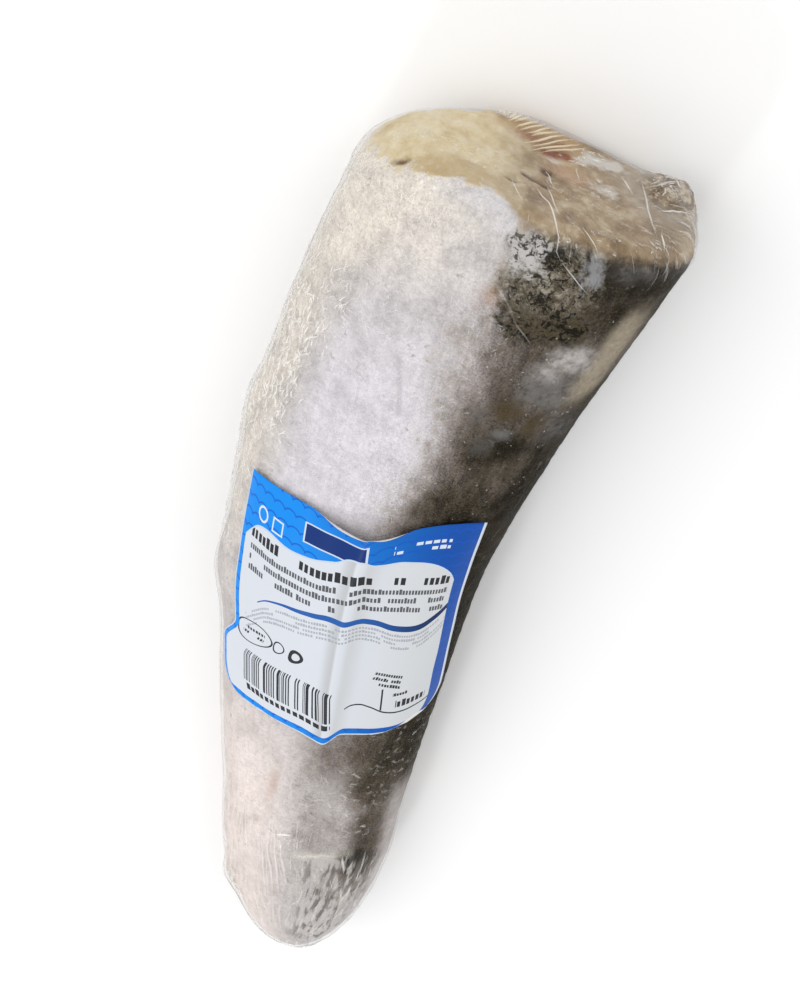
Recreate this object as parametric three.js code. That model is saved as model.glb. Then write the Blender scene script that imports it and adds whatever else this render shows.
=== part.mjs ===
// Frozen hake trunk, headless and tailless, in tight clear film with a paper label.
// Millimetres, +Z up. The fish lies on its right flank: head cut towards +Y, back towards +X.
import * as THREE from 'three';
import { mergeVertices } from 'three/addons/utils/BufferGeometryUtils.js';

// Body, given at even steps from tail to head
const BODY_LENGTH = 162;
const HALF_DEPTHS = [20, 24.6, 28.4, 31.2, 34]; // half of belly to back
const SPINE_SWAY = [-2, -6, -7.9, -3.1, 5]; // sideways place of the backbone
const THICKNESS_SHARE = 0.7; // flank to flank, as a share of belly to back
const SECTION_POWER = 2.25; // 2 is an ellipse, more is squarer
const BACK_FULLNESS = 0.1; // the back is thicker than the belly by this share
const RESTING_FLAT = 1.3; // how much of the lower flank is pressed flat

// Tail end and head cut
const TAIL_REACH = 43.8;
const TAIL_POWER = 1.85;
const RIM_AT_BACK = 4.5; // rounding of the film over the edge of the head cut
const RIM_AT_BELLY = 14;
const RIM_LIMIT = 0.8; // largest rounding, as a share of the half thickness
const CUT_SLANT = 0.09; // the back side of the cut reaches further
const CUT_START = 0.5; // from here to the head the sections lean towards the cut
const CUT_EASE = 1.6;

// Gathered film: where each bulge sits, how far it stands out and how wide it is
const FILM_BULGES = [
  { name: 'ear at the head cut', middle: [32.5, 82, 10], reach: [1.4, 4.4, 1], spread: 3.8 },
  { name: 'pleats at the head cut', middle: [2, 86, 5], reach: [0.5, 1.5, 0], spread: 8 },
  { name: 'pocket at the belly', middle: [-33.5, -22, 20], reach: [-1.8, 0, 0], spread: 6 },
  { name: 'fold at the belly', middle: [-35.5, 19, 20], reach: [-1.3, 0, 0], spread: 5 },
  { name: 'tuck at the tail', middle: [-13.5, -110, 14], reach: [-1.2, 0, 0], spread: 2.4 },
];

// Label: its edges on the skin, along the body as shares and around it in degrees.
// A fold runs down it: from there its top runs straight to the belly and in a curve to the back.
const LABEL_TOP = { belly: 0.542, fold: 0.54, back: 0.607 };
const LABEL_FOOT = { belly: 0.207, fold: 0.187, back: 0.243 };
const LABEL_BELLY_EDGE = [138, 144]; // at its foot and at its top
const LABEL_BACK_EDGE = [21, 41];
const LABEL_LOBE = 14; // degrees that the lower belly side swells out
const LABEL_LOBE_HEIGHTS = [0.22, 0.36]; // full below the first, gone above the second
const LABEL_CORNER = 18; // degrees that the lower corners round in
const LABEL_CORNER_HEIGHT = 0.14;
const FOOT_ROUNDING = 0.3; // on the belly side of the fold, as a share of that side
const FOOT_STEP = 0.3; // on the back side the foot first rises by this share, close to the fold
const FOOT_STEP_WIDTH = 0.15;
const FOOT_SWING = 3; // power of its rise towards the corner
const LABEL_THICK = 0.4;
const LABEL_GAP = 0.35;
const FOLD_AROUND = [86, 87]; // at its foot and at its top
const FOLD_LIFT = [2, 2.6];
const FOLD_WIDTH = 6; // degrees

// Mesh density
const AROUND_STEPS = 64;
const FACE_ROWS = 4;
const RIM_ROWS = 5;
const BODY_ROWS = 36;
const TAIL_ROWS = 10;
const LABEL_COLUMNS = 26;
const LABEL_ROWS = 18;
const LABEL_ROW_EASE = 1.5; // rows lie closer together towards the foot
const NORMAL_STEP = 0.002;
const LEAN_STEP = 0.01;
const MERGE_DISTANCE = 1e-5;

const { clamp, lerp, degToRad, smoothstep } = THREE.MathUtils;

// A smooth curve through values at even steps from the tail (0) to the head (1)
function alongBody(values, share) {
  const last = values.length - 1;
  const place = clamp(share, 0, 1) * last;
  const i = Math.min(Math.floor(place), last - 1);
  const u = place - i;
  const slope = (k) => {
    const before = Math.max(k - 1, 0);
    const after = Math.min(k + 1, last);
    return (values[after] - values[before]) / (after - before);
  };
  const rise = values[i + 1] - values[i];
  const bend = slope(i) + slope(i + 1) - 2 * rise;
  const start = 3 * rise - 2 * slope(i) - slope(i + 1);
  return values[i] + u * (slope(i) + u * (start + u * bend));
}

function spineLean(share) {
  const low = Math.max(share - LEAN_STEP, 0);
  const high = Math.min(share + LEAN_STEP, 1);
  return (alongBody(SPINE_SWAY, high) - alongBody(SPINE_SWAY, low)) / ((high - low) * BODY_LENGTH);
}

function rimRadius(around) {
  const bellySide = (1 - Math.cos(around)) / 2;
  return lerp(RIM_AT_BACK, RIM_AT_BELLY, bellySide ** 2);
}

const signedPower = (value, power) => Math.sign(value) * Math.abs(value) ** power;

// A point of the wrapped surface. The station runs -1 to 0 over the tail end, 0 to 1 along the
// body, 1 to 2 round the rim of the head cut and 2 to 3 over the cut to its middle.
// The angle runs from the back (0) over the upper flank to the belly (PI).
function skinPoint(station, around) {
  const share = clamp(station, 0, 1);
  const halfDepth = alongBody(HALF_DEPTHS, share);
  const halfThick = halfDepth * THICKNESS_SHARE;
  const rim = rimRadius(around);
  let depth = halfDepth;
  let thick = halfThick;
  let ahead = 0;
  let spineAhead = 0;
  if (station < 0) {
    const narrow = (1 - Math.min(-station, 1) ** TAIL_POWER) ** (1 / TAIL_POWER);
    depth *= narrow;
    thick *= narrow;
    ahead = TAIL_REACH * station;
    spineAhead = ahead;
  } else if (station > 1) {
    const turn = Math.min(station - 1, 1) * Math.PI / 2;
    const open = 1 - clamp(station - 2, 0, 1);
    depth = (halfDepth - rim * (1 - Math.cos(turn))) * open;
    thick = (halfThick - Math.min(rim, RIM_LIMIT * halfThick) * (1 - Math.cos(turn))) * open;
    ahead = rim * Math.sin(turn);
    spineAhead = RIM_AT_BACK * Math.sin(turn);
  }
  const side = signedPower(Math.cos(around), 2 / SECTION_POWER);
  const height = signedPower(Math.sin(around), 2 / SECTION_POWER) * (1 + BACK_FULLNESS * side);
  const lean = spineLean(share);
  const nearCut = clamp((share - CUT_START) / (1 - CUT_START), 0, 1) ** CUT_EASE;
  const across = depth * side;
  const forward = ahead + nearCut * (RIM_AT_BACK - rim);
  const point = new THREE.Vector3(
    alongBody(SPINE_SWAY, share) + across + lean * spineAhead,
    (share - 0.5) * BODY_LENGTH + forward + (nearCut * CUT_SLANT - lean) * across,
    Math.max(0, halfThick - RESTING_FLAT + thick * height),
  );
  return addBulges(point);
}

function addBulges(point) {
  const moved = point.clone();
  for (const bulge of FILM_BULGES) {
    const distance = point.distanceTo(new THREE.Vector3(...bulge.middle));
    const strength = Math.exp(-0.5 * (distance / bulge.spread) ** 2);
    moved.addScaledVector(new THREE.Vector3(...bulge.reach), strength);
  }
  return moved;
}

function skinNormal(station, around) {
  const alongBefore = skinPoint(station - NORMAL_STEP, around);
  const alongAfter = skinPoint(station + NORMAL_STEP, around);
  const aroundBefore = skinPoint(station, around - NORMAL_STEP);
  const aroundAfter = skinPoint(station, around + NORMAL_STEP);
  const along = alongAfter.sub(alongBefore);
  return along.cross(aroundAfter.sub(aroundBefore)).normalize();
}

// Stations of the rows, from the middle of the head cut to the tip of the tail
function rowStations() {
  const stations = [];
  for (let i = 0; i < FACE_ROWS; i += 1) stations.push(3 - i / FACE_ROWS);
  for (let i = 0; i < RIM_ROWS; i += 1) stations.push(2 - i / RIM_ROWS);
  for (let i = 0; i < BODY_ROWS; i += 1) stations.push(1 - i / BODY_ROWS);
  for (let i = 0; i <= TAIL_ROWS; i += 1) stations.push(-Math.sin((i / TAIL_ROWS) * Math.PI / 2));
  return stations;
}

function closedMesh(name, geometry, material) {
  geometry.deleteAttribute('normal');
  geometry.deleteAttribute('uv');
  const merged = mergeVertices(geometry, MERGE_DISTANCE);
  merged.computeVertexNormals();
  const mesh = new THREE.Mesh(merged, material);
  mesh.name = name;
  return mesh;
}

// The body starts as a sphere whose rows become the sections, its +Y pole the head cut
function wrappedHake() {
  const stations = rowStations();
  const rows = stations.length - 1;
  const geometry = new THREE.SphereGeometry(1, AROUND_STEPS, rows);
  const position = geometry.attributes.position;
  const direction = new THREE.Vector3();
  for (let i = 0; i < position.count; i += 1) {
    direction.fromBufferAttribute(position, i);
    const row = Math.round((Math.acos(clamp(direction.y, -1, 1)) / Math.PI) * rows);
    const step = Math.round((Math.atan2(direction.z, direction.x) / Math.PI) * (AROUND_STEPS / 2));
    const around = ((step + AROUND_STEPS) % AROUND_STEPS) * (2 * Math.PI / AROUND_STEPS);
    position.setXYZ(i, ...skinPoint(stations[row], around).toArray());
  }
  const material = new THREE.MeshStandardMaterial({ color: 0xb9aea6, roughness: 0.35, metalness: 0 });
  return closedMesh('wrapped_hake', geometry, material);
}

const cornerInset = (share, height) => {
  const rise = clamp(share / height, 0, 1);
  return 1 - Math.sqrt(1 - (1 - rise) ** 2);
};

// Rise of the foot from 0 at the fold to 1 at the edge: with a rounded start on the belly side,
// with a step and a swing on the back side
const roundedRise = (share) => {
  const whole = Math.hypot(1, FOOT_ROUNDING) - FOOT_ROUNDING;
  return (Math.hypot(share, FOOT_ROUNDING) - FOOT_ROUNDING) / whole;
};

const steppedRise = (share) => {
  const step = FOOT_STEP * smoothstep(share, 0, FOOT_STEP_WIDTH);
  return step + (1 - FOOT_STEP) * share ** FOOT_SWING;
};

// Station and angle of a point of the label: across runs from its belly edge to its back edge,
// up runs from its foot to its top
function labelPlace(across, up) {
  const round = LABEL_CORNER * cornerInset(up, LABEL_CORNER_HEIGHT);
  const lobe = LABEL_LOBE * (1 - smoothstep(up, ...LABEL_LOBE_HEIGHTS));
  const bellyEdge = lerp(...LABEL_BELLY_EDGE, up) + lobe - round;
  const backEdge = lerp(...LABEL_BACK_EDGE, up) + round;
  const degrees = lerp(bellyEdge, backEdge, across);
  const fold = lerp(...FOLD_AROUND, up);
  const onBellySide = degrees > fold;
  const side = onBellySide ? 'belly' : 'back';
  const fromFold = (degrees - fold) / ((onBellySide ? bellyEdge : backEdge) - fold);
  const reach = onBellySide ? fromFold : Math.sin(fromFold * Math.PI / 2);
  const footReach = onBellySide ? roundedRise(fromFold) : steppedRise(fromFold);
  const top = lerp(LABEL_TOP.fold, LABEL_TOP[side], reach);
  const foot = lerp(LABEL_FOOT.fold, LABEL_FOOT[side], footReach);
  return {
    station: lerp(foot, top, up),
    around: degToRad(degrees),
    lift: lerp(...FOLD_LIFT, up) / (1 + ((degrees - fold) / FOLD_WIDTH) ** 2),
  };
}

// The label starts as a flat plate and is laid on the skin
function label() {
  const geometry = new THREE.BoxGeometry(1, 1, 1, LABEL_COLUMNS, LABEL_ROWS, 1);
  const position = geometry.attributes.position;
  for (let i = 0; i < position.count; i += 1) {
    const up = (position.getY(i) + 0.5) ** LABEL_ROW_EASE;
    const place = labelPlace(position.getX(i) + 0.5, up);
    const height = LABEL_GAP + place.lift + (position.getZ(i) > 0 ? LABEL_THICK : 0);
    const normal = skinNormal(place.station, place.around);
    const point = skinPoint(place.station, place.around).addScaledVector(normal, height);
    position.setXYZ(i, ...point.toArray());
  }
  const material = new THREE.MeshStandardMaterial({ color: 0xe9edf2, roughness: 0.5, metalness: 0 });
  return closedMesh('label', geometry, material);
}

const hake = new THREE.Group();
hake.add(wrappedHake(), label());

// The origin is under the middle of the whole object, on the surface that it lies on
const box = new THREE.Box3().setFromObject(hake);
const middle = box.getCenter(new THREE.Vector3());
hake.position.set(-middle.x, -middle.y, -box.min.z);

export default hake;
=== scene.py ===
"""Frozen hake trunk in tight clear film with a paper label, lying on its flank."""
import math
from types import SimpleNamespace

import bmesh
import bpy
import numpy as np
from mathutils import Matrix, Vector, noise
from mathutils.bvhtree import BVHTree


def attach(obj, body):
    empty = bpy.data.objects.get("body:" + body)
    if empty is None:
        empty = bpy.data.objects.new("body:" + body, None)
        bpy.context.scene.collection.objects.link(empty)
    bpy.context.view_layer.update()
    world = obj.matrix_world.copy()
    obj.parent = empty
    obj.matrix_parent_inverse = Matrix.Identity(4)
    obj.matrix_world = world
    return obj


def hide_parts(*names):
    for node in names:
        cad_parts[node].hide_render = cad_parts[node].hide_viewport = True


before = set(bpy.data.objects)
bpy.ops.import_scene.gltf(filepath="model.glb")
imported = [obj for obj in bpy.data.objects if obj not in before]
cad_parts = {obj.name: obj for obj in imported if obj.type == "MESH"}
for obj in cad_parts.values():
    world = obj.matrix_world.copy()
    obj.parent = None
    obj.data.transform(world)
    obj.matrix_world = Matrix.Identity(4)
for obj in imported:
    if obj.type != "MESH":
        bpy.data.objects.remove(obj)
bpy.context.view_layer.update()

# Sizes, in millimetres in the body's own coordinates: +Y towards the head cut, +X towards the back
MM = 0.001
BODY_MIDDLE = (0.844, -18.525)  # middle of the whole object, which lies over the row's origin
BODY_LENGTH = 162
HALF_DEPTHS = [20, 24.6, 28.4, 31.2, 34]
SPINE_SWAY = [-2, -6, -7.9, -3.1, 5]
THICKNESS_SHARE = 0.7
SECTION_POWER = 2.25
BACK_FULLNESS = 0.1
RESTING_FLAT = 1.3
TAIL_REACH = 43.8
TAIL_POWER = 1.85
RIM_AT_BACK = 4.5
RIM_AT_BELLY = 14
RIM_LIMIT = 0.8
CUT_SLANT = 0.09
CUT_START = 0.5
CUT_EASE = 1.6
LEAN_STEP = 0.01
NORMAL_STEP = 0.002

# Gathered film: middle, reach and spread of each bulge
EAR_BULGE = ((32.5, 82, 10), (1, 3.4, 1), 3.8)
EAR = (32, 84.2, 12.5)
EAR_REACH = (5.4, 5.6, 6.5)
FILM_BULGES = [
    ((2, 86, 5), (0.5, 1.5, 0), 8),
    ((-33.5, -22, 20), (-1.8, 0, 0), 6),
    ((-35.5, 19, 20), (-1.3, 0, 0), 5),
    ((-14, -107, 16), (-1.5, 0, 0), 2.6),
]

# Rows and columns of the two skins: shares of the mesh against stations and degrees
SKIN_COLUMNS = 288
SKIN_ROWS = 336
ROW_SHARES = [0, 0.1, 0.28, 0.83, 1]
ROW_STATIONS = [3, 2, 1, 0, -1]
COLUMN_SHARES = [0, 0.1, 0.9, 1]
COLUMN_DEGREES = [270, 200, -20, -90]

# Film and the fish under it
FILM_MIRROR = 0.22  # most that the film reflects
FILM_INDEX = 1.45  # how strongly the film bends light
FILM_SLACK = 0.4  # gap between the film and the fish
FILM_RADIUS = 28  # mean radius round the fish, which spaces the wrinkles
FISH_FLOOR = 0.15  # lowest heights of the fish and of the folds
FOLD_FLOOR = 0.05
GRAIN_TURN = (0.5, 0.7, 0.3)  # turns the noise off the axes
FOLD_SEED = 7
FOLD_STEPS = 8
FOLD_RISE = 0.2
FOLD_CLEAR = 0.08
FOLD_WAVE = 0.25
# Fold tables: pale strips, in part doubled film and for the rest painted highlights of the film's glints
SCATTERED_FOLDS = [  # how many, stations, degrees, lengths, slant and its spread, widths, strength
    (340, (0.6, 0.82), (136, 176), (1.0, 3.6), 0, 24, (0.2, 0.5), 1.0),
    (150, (0.52, 0.9), (128, 178), (1.0, 3.6), 0, 24, (0.18, 0.4), 0.9),
    (130, (0.42, 0.6), (148, 178), (1.0, 4.0), 0, 16, (0.15, 0.35), 0.8),
    (260, (0.8, 1.25), (110, 175), (0.6, 2.6), 0, 50, (0.15, 0.35), 0.7),
    (180, (0.56, 0.95), (76, 128), (0.4, 1.8), 0, 50, (0.12, 0.28), 0.5),
    (80, (0.6, 0.95), (35, 85), (0.25, 0.6), 0, 60, (0.2, 0.3), 0.55),
    (10, (0.95, 1.7), (30, 100), (3.0, 8.0), 12, 8, (0.15, 0.3), 0.3),
    (36, (1.9, 2.8), (-30, 80), (0.8, 3.0), 0, 50, (0.2, 0.5), 0.4),
    (30, (1.6, 2.6), (0, 80), (2.0, 6.0), 20, 22, (0.12, 0.25), 0.22),
    (24, (1.3, 2.2), (-15, 40), (1.5, 5.0), 0, 25, (0.2, 0.5), 0.5),
    (30, (1.4, 2.0), (35, 80), (0.4, 1.6), 0, 60, (0.2, 0.45), 0.6),
    (18, (2.1, 2.6), (282, 304), (0.6, 2.2), 0, 60, (0.3, 0.6), 0.8),
    (70, (1.3, 2.4), (90, 160), (0.4, 1.4), 0, 60, (0.15, 0.3), 0.5),
    (130, (-0.75, 0.0), (85, 165), (4.0, 12.0), 0, 6, (0.2, 0.4), 0.4),
    (60, (-0.85, -0.12), (32, 88), (2.0, 8.0), -8, 8, (0.3, 0.8), 0.45),
    (16, (-0.97, -0.87), (30, 120), (1.0, 3.0), 0, 60, (0.5, 1.1), 0.6),
    (50, (0.0, 0.22), (30, 70), (0.5, 2.0), 60, 50, (0.3, 0.9), 0.25),
    (26, (0.0, 0.14), (62, 92), (1.0, 3.6), 85, 25, (0.3, 0.8), 0.3),
    (22, (-0.66, -0.48), (138, 166), (1.0, 3.6), 10, 40, (0.3, 0.8), 1.0),
]
LONG_FOLDS = [  # start, end, width, strength
    ((5.4, 85.6, 30.9), (14.2, 79.3, 46.3), 0.4, 0.8),
    ((7.6, 85.4, 28.8), (12.2, 84.8, 40.5), 0.35, 0.65),
    ((14.2, 79.3, 46.3), (21.2, 73.4, 44.4), 0.3, 0.6),
    ((16.1, 84.4, 40.5), (20.5, 81.6, 44.5), 0.3, 0.6),
    ((21.6, 83.8, 12.2), (24.6, 83.4, 18.1), 0.6, 0.6),
    ((24.9, 83.4, 10), (30.8, 82.7, 33), 0.5, 0.6),
    ((31.2, 82.7, 29.5), (32.4, 82.1, 36.2), 0.45, 0.9),
    ((29.6, 82.9, 21.6), (35.9, 82, 16.5), 0.6, 0.8),
    ((0.9, 86.2, 31.7), (4.4, 85.6, 40.4), 0.35, 0.5),
    ((12.8, 84.7, 16.6), (13.6, 84.6, 22.7), 0.35, 0.5),
    ((7, 85.4, 23.6), (9.6, 85.1, 29), 0.4, 0.7),
    ((5, 70.8, 45.6), (9, 64.8, 45.2), 0.4, 0.12),
    ((9, 64.8, 45.2), (13.7, 59.8, 44.1), 0.4, 0.18),
    ((-2.7, -88.3, 26.2), (8.2, -84.5, 25.8), 0.8, 0.3),
    ((8.2, -84.5, 25.8), (9.6, -90.4, 25), 0.7, 0.6),
    ((-7.3, -84.5, 25.9), (-3.7, -83, 26.5), 0.6, 0.9),
    ((-14.1, -102.5, 19.3), (-12.5, -110, 16.1), 0.8, 0.7),
    ((-14.4, -106, 17), (-11, -107, 19), 0.6, 0.6),
    ((-10.2, -85.8, 25), (-5.7, -102.8, 23.3), 0.5, 0.45),
    ((-9, -84.6, 25.5), (-4.3, -102.6, 23.7), 0.5, 0.5),
    ((-7.2, -85.5, 25.8), (-2.7, -102.5, 23.9), 0.6, 0.45),
    ((-5.8, -85.4, 26.1), (-1.8, -99.1, 24.7), 0.5, 0.45),
]
EAR_FOLDS = 40
PLEATS = 14
PLEAT_OUTER = ((-3.6, 86.8, 4.4), (14.3, 84.6, 6.3))  # outer ends of the first and the last pleat
PLEAT_INNER = ((-4.5, 87.0, 8.0), (4.2, 85.8, 18.9))
CUT_EDGE_AROUND = [-20, 0, 15, 31, 44, 57, 69, 80, 87, 89, 93, 99, 108, 118, 129, 141, 157, 200]
CUT_EDGE_STATION = [
    1.1, 1.2, 1.3, 1.42, 1.5, 1.46, 1.54, 1.5, 1.5, 1.42, 1.62, 1.88, 1.8, 1.66, 1.5, 1.4, 1.34, 1.35,
]

# The dark back at each station: depth of its first step, then middle, softness and depth of the next
BACK_STATIONS = [-0.7, -0.5, -0.4, -0.3, -0.2, -0.1, 0.05, 0.1, 0.15, 0.3, 0.6, 0.7, 0.8, 0.87, 0.93, 1.0]
BACK_FIRST = [0.02, 0.12, 0.16, 0.18, 0.18, 0.24, 0.23, 0.27, 0.41, 0.4, 0.05, 0.05, 0.07, 0.1, 0.1, 0.1]
BACK_EDGE = [60, 62, 72, 68, 64, 62, 61, 66, 62, 64, 77, 77, 80, 82, 82, 82]
BACK_SOFT = [20, 16, 8, 9, 10, 8, 11, 10, 22, 20, 12, 16, 18, 17, 12, 9]
BACK_DEPTH = [0.05, 0.18, 0.32, 0.47, 0.7, 0.7, 0.64, 0.78, 0.94, 1.0, 0.98, 0.78, 0.78, 0.76, 0.78, 0.85]
BACK_START = (104, 82)

# Patches on the skin, seen from above: middle, half sizes, softness of the edge and strength
DARK_PATCHES = [
    ((8.2, 32.1), (3, 3), 0.9, 0.2),
    ((15.5, 33.8), (3, 3), 0.9, 0.2),
    ((10.8, -87.2), (3, 2.8), 0.7, 0.4),
    ((3.2, -115.8), (2.6, 1.6), 0.8, 0.25),
]
HAZE_PATCHES = [
    ((19.3, 49.2), (5.4, 4.4), 0.8, 1.0),
    ((13.6, 37.3), (2, 1.3), 0.9, 0.75),
    ((8.3, 41), (3, 3.4), 0.9, 0.35),
    ((10.4, 33.6), (2.4, 2.4), 0.9, 0.45),
    ((22.2, 65.6), (2, 2.4), 0.9, 0.6),
    ((23.5, 40), (3.4, 5), 0.9, 0.55),
    ((29, 78.6), (5, 2.4), 0.9, 0.5),
]
OLIVE_PATCHES = [
    ((13.5, 43.6), (3.4, 3.6), 0.9, 1.0),
    ((20.2, 40.5), (3.2, 3), 0.9, 1.0),
]
FROST_PATCHES = [
    ((22, 57.2), (4.2, 3.4), 0.8, 1.0),
    ((18.4, 53.8), (3.4, 2.6), 0.9, 0.65),
    ((1.9, -70), (2.4, 7.5), 0.8, 0.6),
    ((16.4, -70), (1.8, 6), 0.9, 0.7),
]
REFLECTION_STRIP = (26.9, 51, 0.28, 3.1)  # a pale strip of painted film reflection along the back's edge: a place on its middle line, its slant and its half width
SPOTS_LEAN = (0.1, 78)  # how far the spotted patch leans over, and from where

# Marks: start, end, radius and strength of each line, and middle, radii and strength of each spot
STAIN_LINES = [
    ((0.5, 86.2, 30.5), (2.2, 86, 31.5), 0.5, 0.8),
    ((3.5, 85.9, 26.6), (8.2, 85.3, 28), 0.75, 0.85),
]
STAIN_SPOTS = [
    ((-18.8, 83.4, 34.2), (2.2, 2, 0.9), 1.0),
    ((7.6, 85.3, 21.8), (1.3, 3, 1.2), 1.0),
]
RUSSET_LINES = [
    ((6.1, 85.5, 14.8), (10.6, 85, 12.3), 1.2, 1.0),
    ((1, 86.5, 12), (9, 85.3, 9), 2.2, 0.5),
]
ICE_LINES = [
    ((8.5, 85.3, 16), (14.8, 84.5, 9.9), 1.3, 1.0),
    ((14.8, 84.5, 9.9), (20, 84, 7.7), 1.8, 1.0),
]
ICE_SPOTS = [((19.2, 84, 20.1), (1.8, 3, 2.6), 0.6)]
RUST_SPOTS = [
    ((-11, -70.5, 27.3), (0.9, 4, 4), 0.6),
    ((3.5, 67.7, 45.3), (1.2, 1.4, 1.5), 0.7),
]

# Colours as they show on the screen, 0 to 255, and ramps of them over a share
COLOURS = {
    "flank": (205, 199, 198), "lilac": (223, 219, 225), "warm": (240, 231, 219), "pink": (246, 232, 226),
    # pale and dark strokes: painted glints and painted shade of the film's wrinkles at the tail
    "snow": (230, 227, 229), "shelf": (206, 201, 197), "glint stroke": (214, 208, 203),
    # beige: partly a painted reflection of the film along the back's edge
    "shade stroke": (112, 104, 97), "olive": (78, 64, 40), "haze": (122, 120, 118), "beige": (174, 162, 142),
    # crease: the grey of painted shade in a crease
    "frost": (196, 190, 187), "fleck": (150, 147, 142), "crease": (188, 183, 187),
    "dark ground": (84, 76, 61), "pale ground": (164, 155, 140), "rime": (198, 195, 192),
    "dim": (70, 61, 42), "spot": (16, 14, 8), "icy": (156, 156, 158),
    "ochre": (186, 160, 116), "rosy": (200, 164, 138), "ice": (224, 219, 212), "gold": (196, 164, 120),
    "russet": (146, 78, 44), "dusk": (134, 113, 89), "stain": (92, 62, 42), "rust": (186, 128, 84),
    # the pale fold white also paints the film's glints, as painted highlights
    "milky film": (246, 240, 230), "fold and glint white": (266, 263, 257), "yellow fold": (250, 236, 204),
    "underside": (238, 236, 232), "cool paper": (222, 227, 235), "paper": (217, 220, 223),
    # the two shaded papers below are painted shade on both sides of the label's fold
    "shaded paper": (192, 194, 197), "lightly shaded paper": (206, 207, 207), "paper edge": (222, 230, 240),
    "faint ink": (170, 174, 182), "grey ink": (92, 94, 100), "black ink": (44, 46, 52),
    "sweep": (34, 96, 176), "dark sweep": (18, 44, 92), "header": (8, 146, 246),
    "deep header": (0, 80, 172), "scales": (6, 84, 198), "sign rim": (214, 226, 240),
    "sign": (4, 50, 122), "pale mark": (222, 233, 245), "header edge": (206, 220, 238),
}
BACK_RAMP = [
    (0.0, (213, 207, 205)),
    (0.21, (182, 174, 170)),
    (0.41, (146, 137, 132)),
    (0.62, (104, 95, 87)),
    (0.81, (80, 72, 61)),
    (1.0, (39, 34, 24)),
]
TAN_RAMP = [(0.36, (130, 107, 79)), (0.5, (169, 146, 115)), (0.64, (208, 192, 164))]
CREAM_RAMP = [(0.36, (206, 184, 142)), (0.48, (226, 209, 172)), (0.6, (238, 227, 200))]
BROWN_RAMP = [(0.36, (88, 72, 54)), (0.5, (154, 133, 108)), (0.62, (216, 203, 182))]

# Label on the skin
LABEL_TOP = {"belly": 0.542, "fold": 0.55, "back": 0.607}
LABEL_FOOT = {"belly": 0.207, "fold": 0.187, "back": 0.243}
LABEL_BELLY_EDGE = (138, 144)
LABEL_BACK_EDGE = (21, 43)
LABEL_LOBE = 14
LABEL_LOBE_HEIGHTS = (0.22, 0.36)
LABEL_CORNER = 18
LABEL_CORNER_HEIGHT = 0.14
LABEL_THICK = 0.14
LABEL_STEP = 0.002
FOOT_ROUNDING = 0.3
FOOT_STEEPENING = 1.34
FOOT_STEP = 0.3
FOOT_STEP_WIDTH = 0.15
FOOT_SWING = 3
LABEL_GAP = 0.6
FOLD_AROUND = (86, 87)
FOLD_LIFT = (2.0, 2.6)
FOLD_WIDTH = 6
LABEL_ROW_CURVE = [
    (0.08, 0.5), (0.3, 0.495), (0.42, 0.505), (0.55, 0.555), (0.6, 0.525), (0.7, 0.485), (0.8, 0.455),
    (0.92, 0.44),
]
LABEL_HEADER_CURVE = [
    (0.0, 0.7), (0.06, 0.78), (0.12, 0.825), (0.33, 0.82), (0.47, 0.88), (0.545, 0.94), (0.6, 0.895),
    (0.7, 0.865), (0.88, 0.775), (0.935, 0.69), (1.0, 0.5),
]
LABEL_SWEEP_CURVE = [
    (0.15, 0.515), (0.2, 0.545), (0.4, 0.592), (0.51, 0.63), (0.6, 0.595), (0.7, 0.53), (0.8, 0.51),
    (0.85, 0.525), (0.97, 0.62),
]
LABEL_SCALE_CURVE = [(0.57, 0.15), (0.62, 0.165), (0.66, 0.15), (0.72, 0.12), (0.8, 0.11), (0.98, 0.125)]
LABEL_STRETCH_CURVE = [(0.0, 0.0), (0.3, 0.037), (0.545, 0.067), (0.7, 0.03), (0.85, 0.007), (1.0, 0.0)]
LABEL_COLUMNS = 120
LABEL_ROWS = 120
LABEL_HEIGHT = 55
CURL_RADIUS = 1.3
CURL_LOBES = [(94, 10, 2.3), (81, 6, 2.2)]  # middle and spread in degrees, and length, of each curl

# Print on the label, in shares of its width and height
LABEL_BARS = {  # sides, heights, rows, groups and bars over the whole width, and how much stays bare
    "fine": ((0.08, 0.92), (0.395, 0.475), 4, 16, 95, 0.38),
    "bold": ((0.075, 0.9), (0.752, 0.825), 1, 9, 42, 0.36),
    "grey": ((0.075, 0.9), (0.62, 0.752), 3, 13, 78, 0.38),
    "foot": ((0.175, 0.53), (0.065, 0.108), 1, 4, 40, 0.2),
    "corner": ((0.765, 0.9), (0.125, 0.178), 1, 4, 48, 0.2),
    "short": ((0.75, 0.81), (0.187, 0.21), 1, 10, 85, 0.2),
    "ringed": ((0.07, 0.19), (0.335, 0.385), 2, 20, 65, 0.38),
    "slanted": ((0.645, 0.775), (0.49, 0.56), 3, 20, 85, 0.38),
    "header": ((0.65, 0.86), (1.015, 1.075), 2, 8, 32, 0.38),
}
LABEL_BLOCKS = {  # sides and heights
    "stripes": ((0.165, 0.53), (0.11, 0.265)),
    "post": ((0.702, 0.709), (0.13, 0.235)),
    "sign": ((0.345, 0.565), (0.828, 0.905)),
    "sign rim": ((0.338, 0.572), (0.822, 0.911)),
    "square": ((0.187, 0.245), (0.845, 0.905)),
    "inner square": ((0.194, 0.238), (0.852, 0.898)),
}
LABEL_RINGS = {  # middle, radii and width of the line
    "large": ((0.13, 0.357), (0.1, 0.052), 0.045),
    "small": ((0.265, 0.36), (0.025, 0.026), 0.12),
    "thick": ((0.345, 0.36), (0.024, 0.026), 0.3),
    "header": ((0.128, 0.88), (0.027, 0.028), 0.16),
}
LABEL_STRIPES = 190
LABEL_SCALES = 17
LABEL_BORDER = (0.007, 0.034)  # white rim, then blue as far as this
LABEL_SLANTS = {"slanted": 0.35, "header": 0.15, "sign": 0.18}

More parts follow.
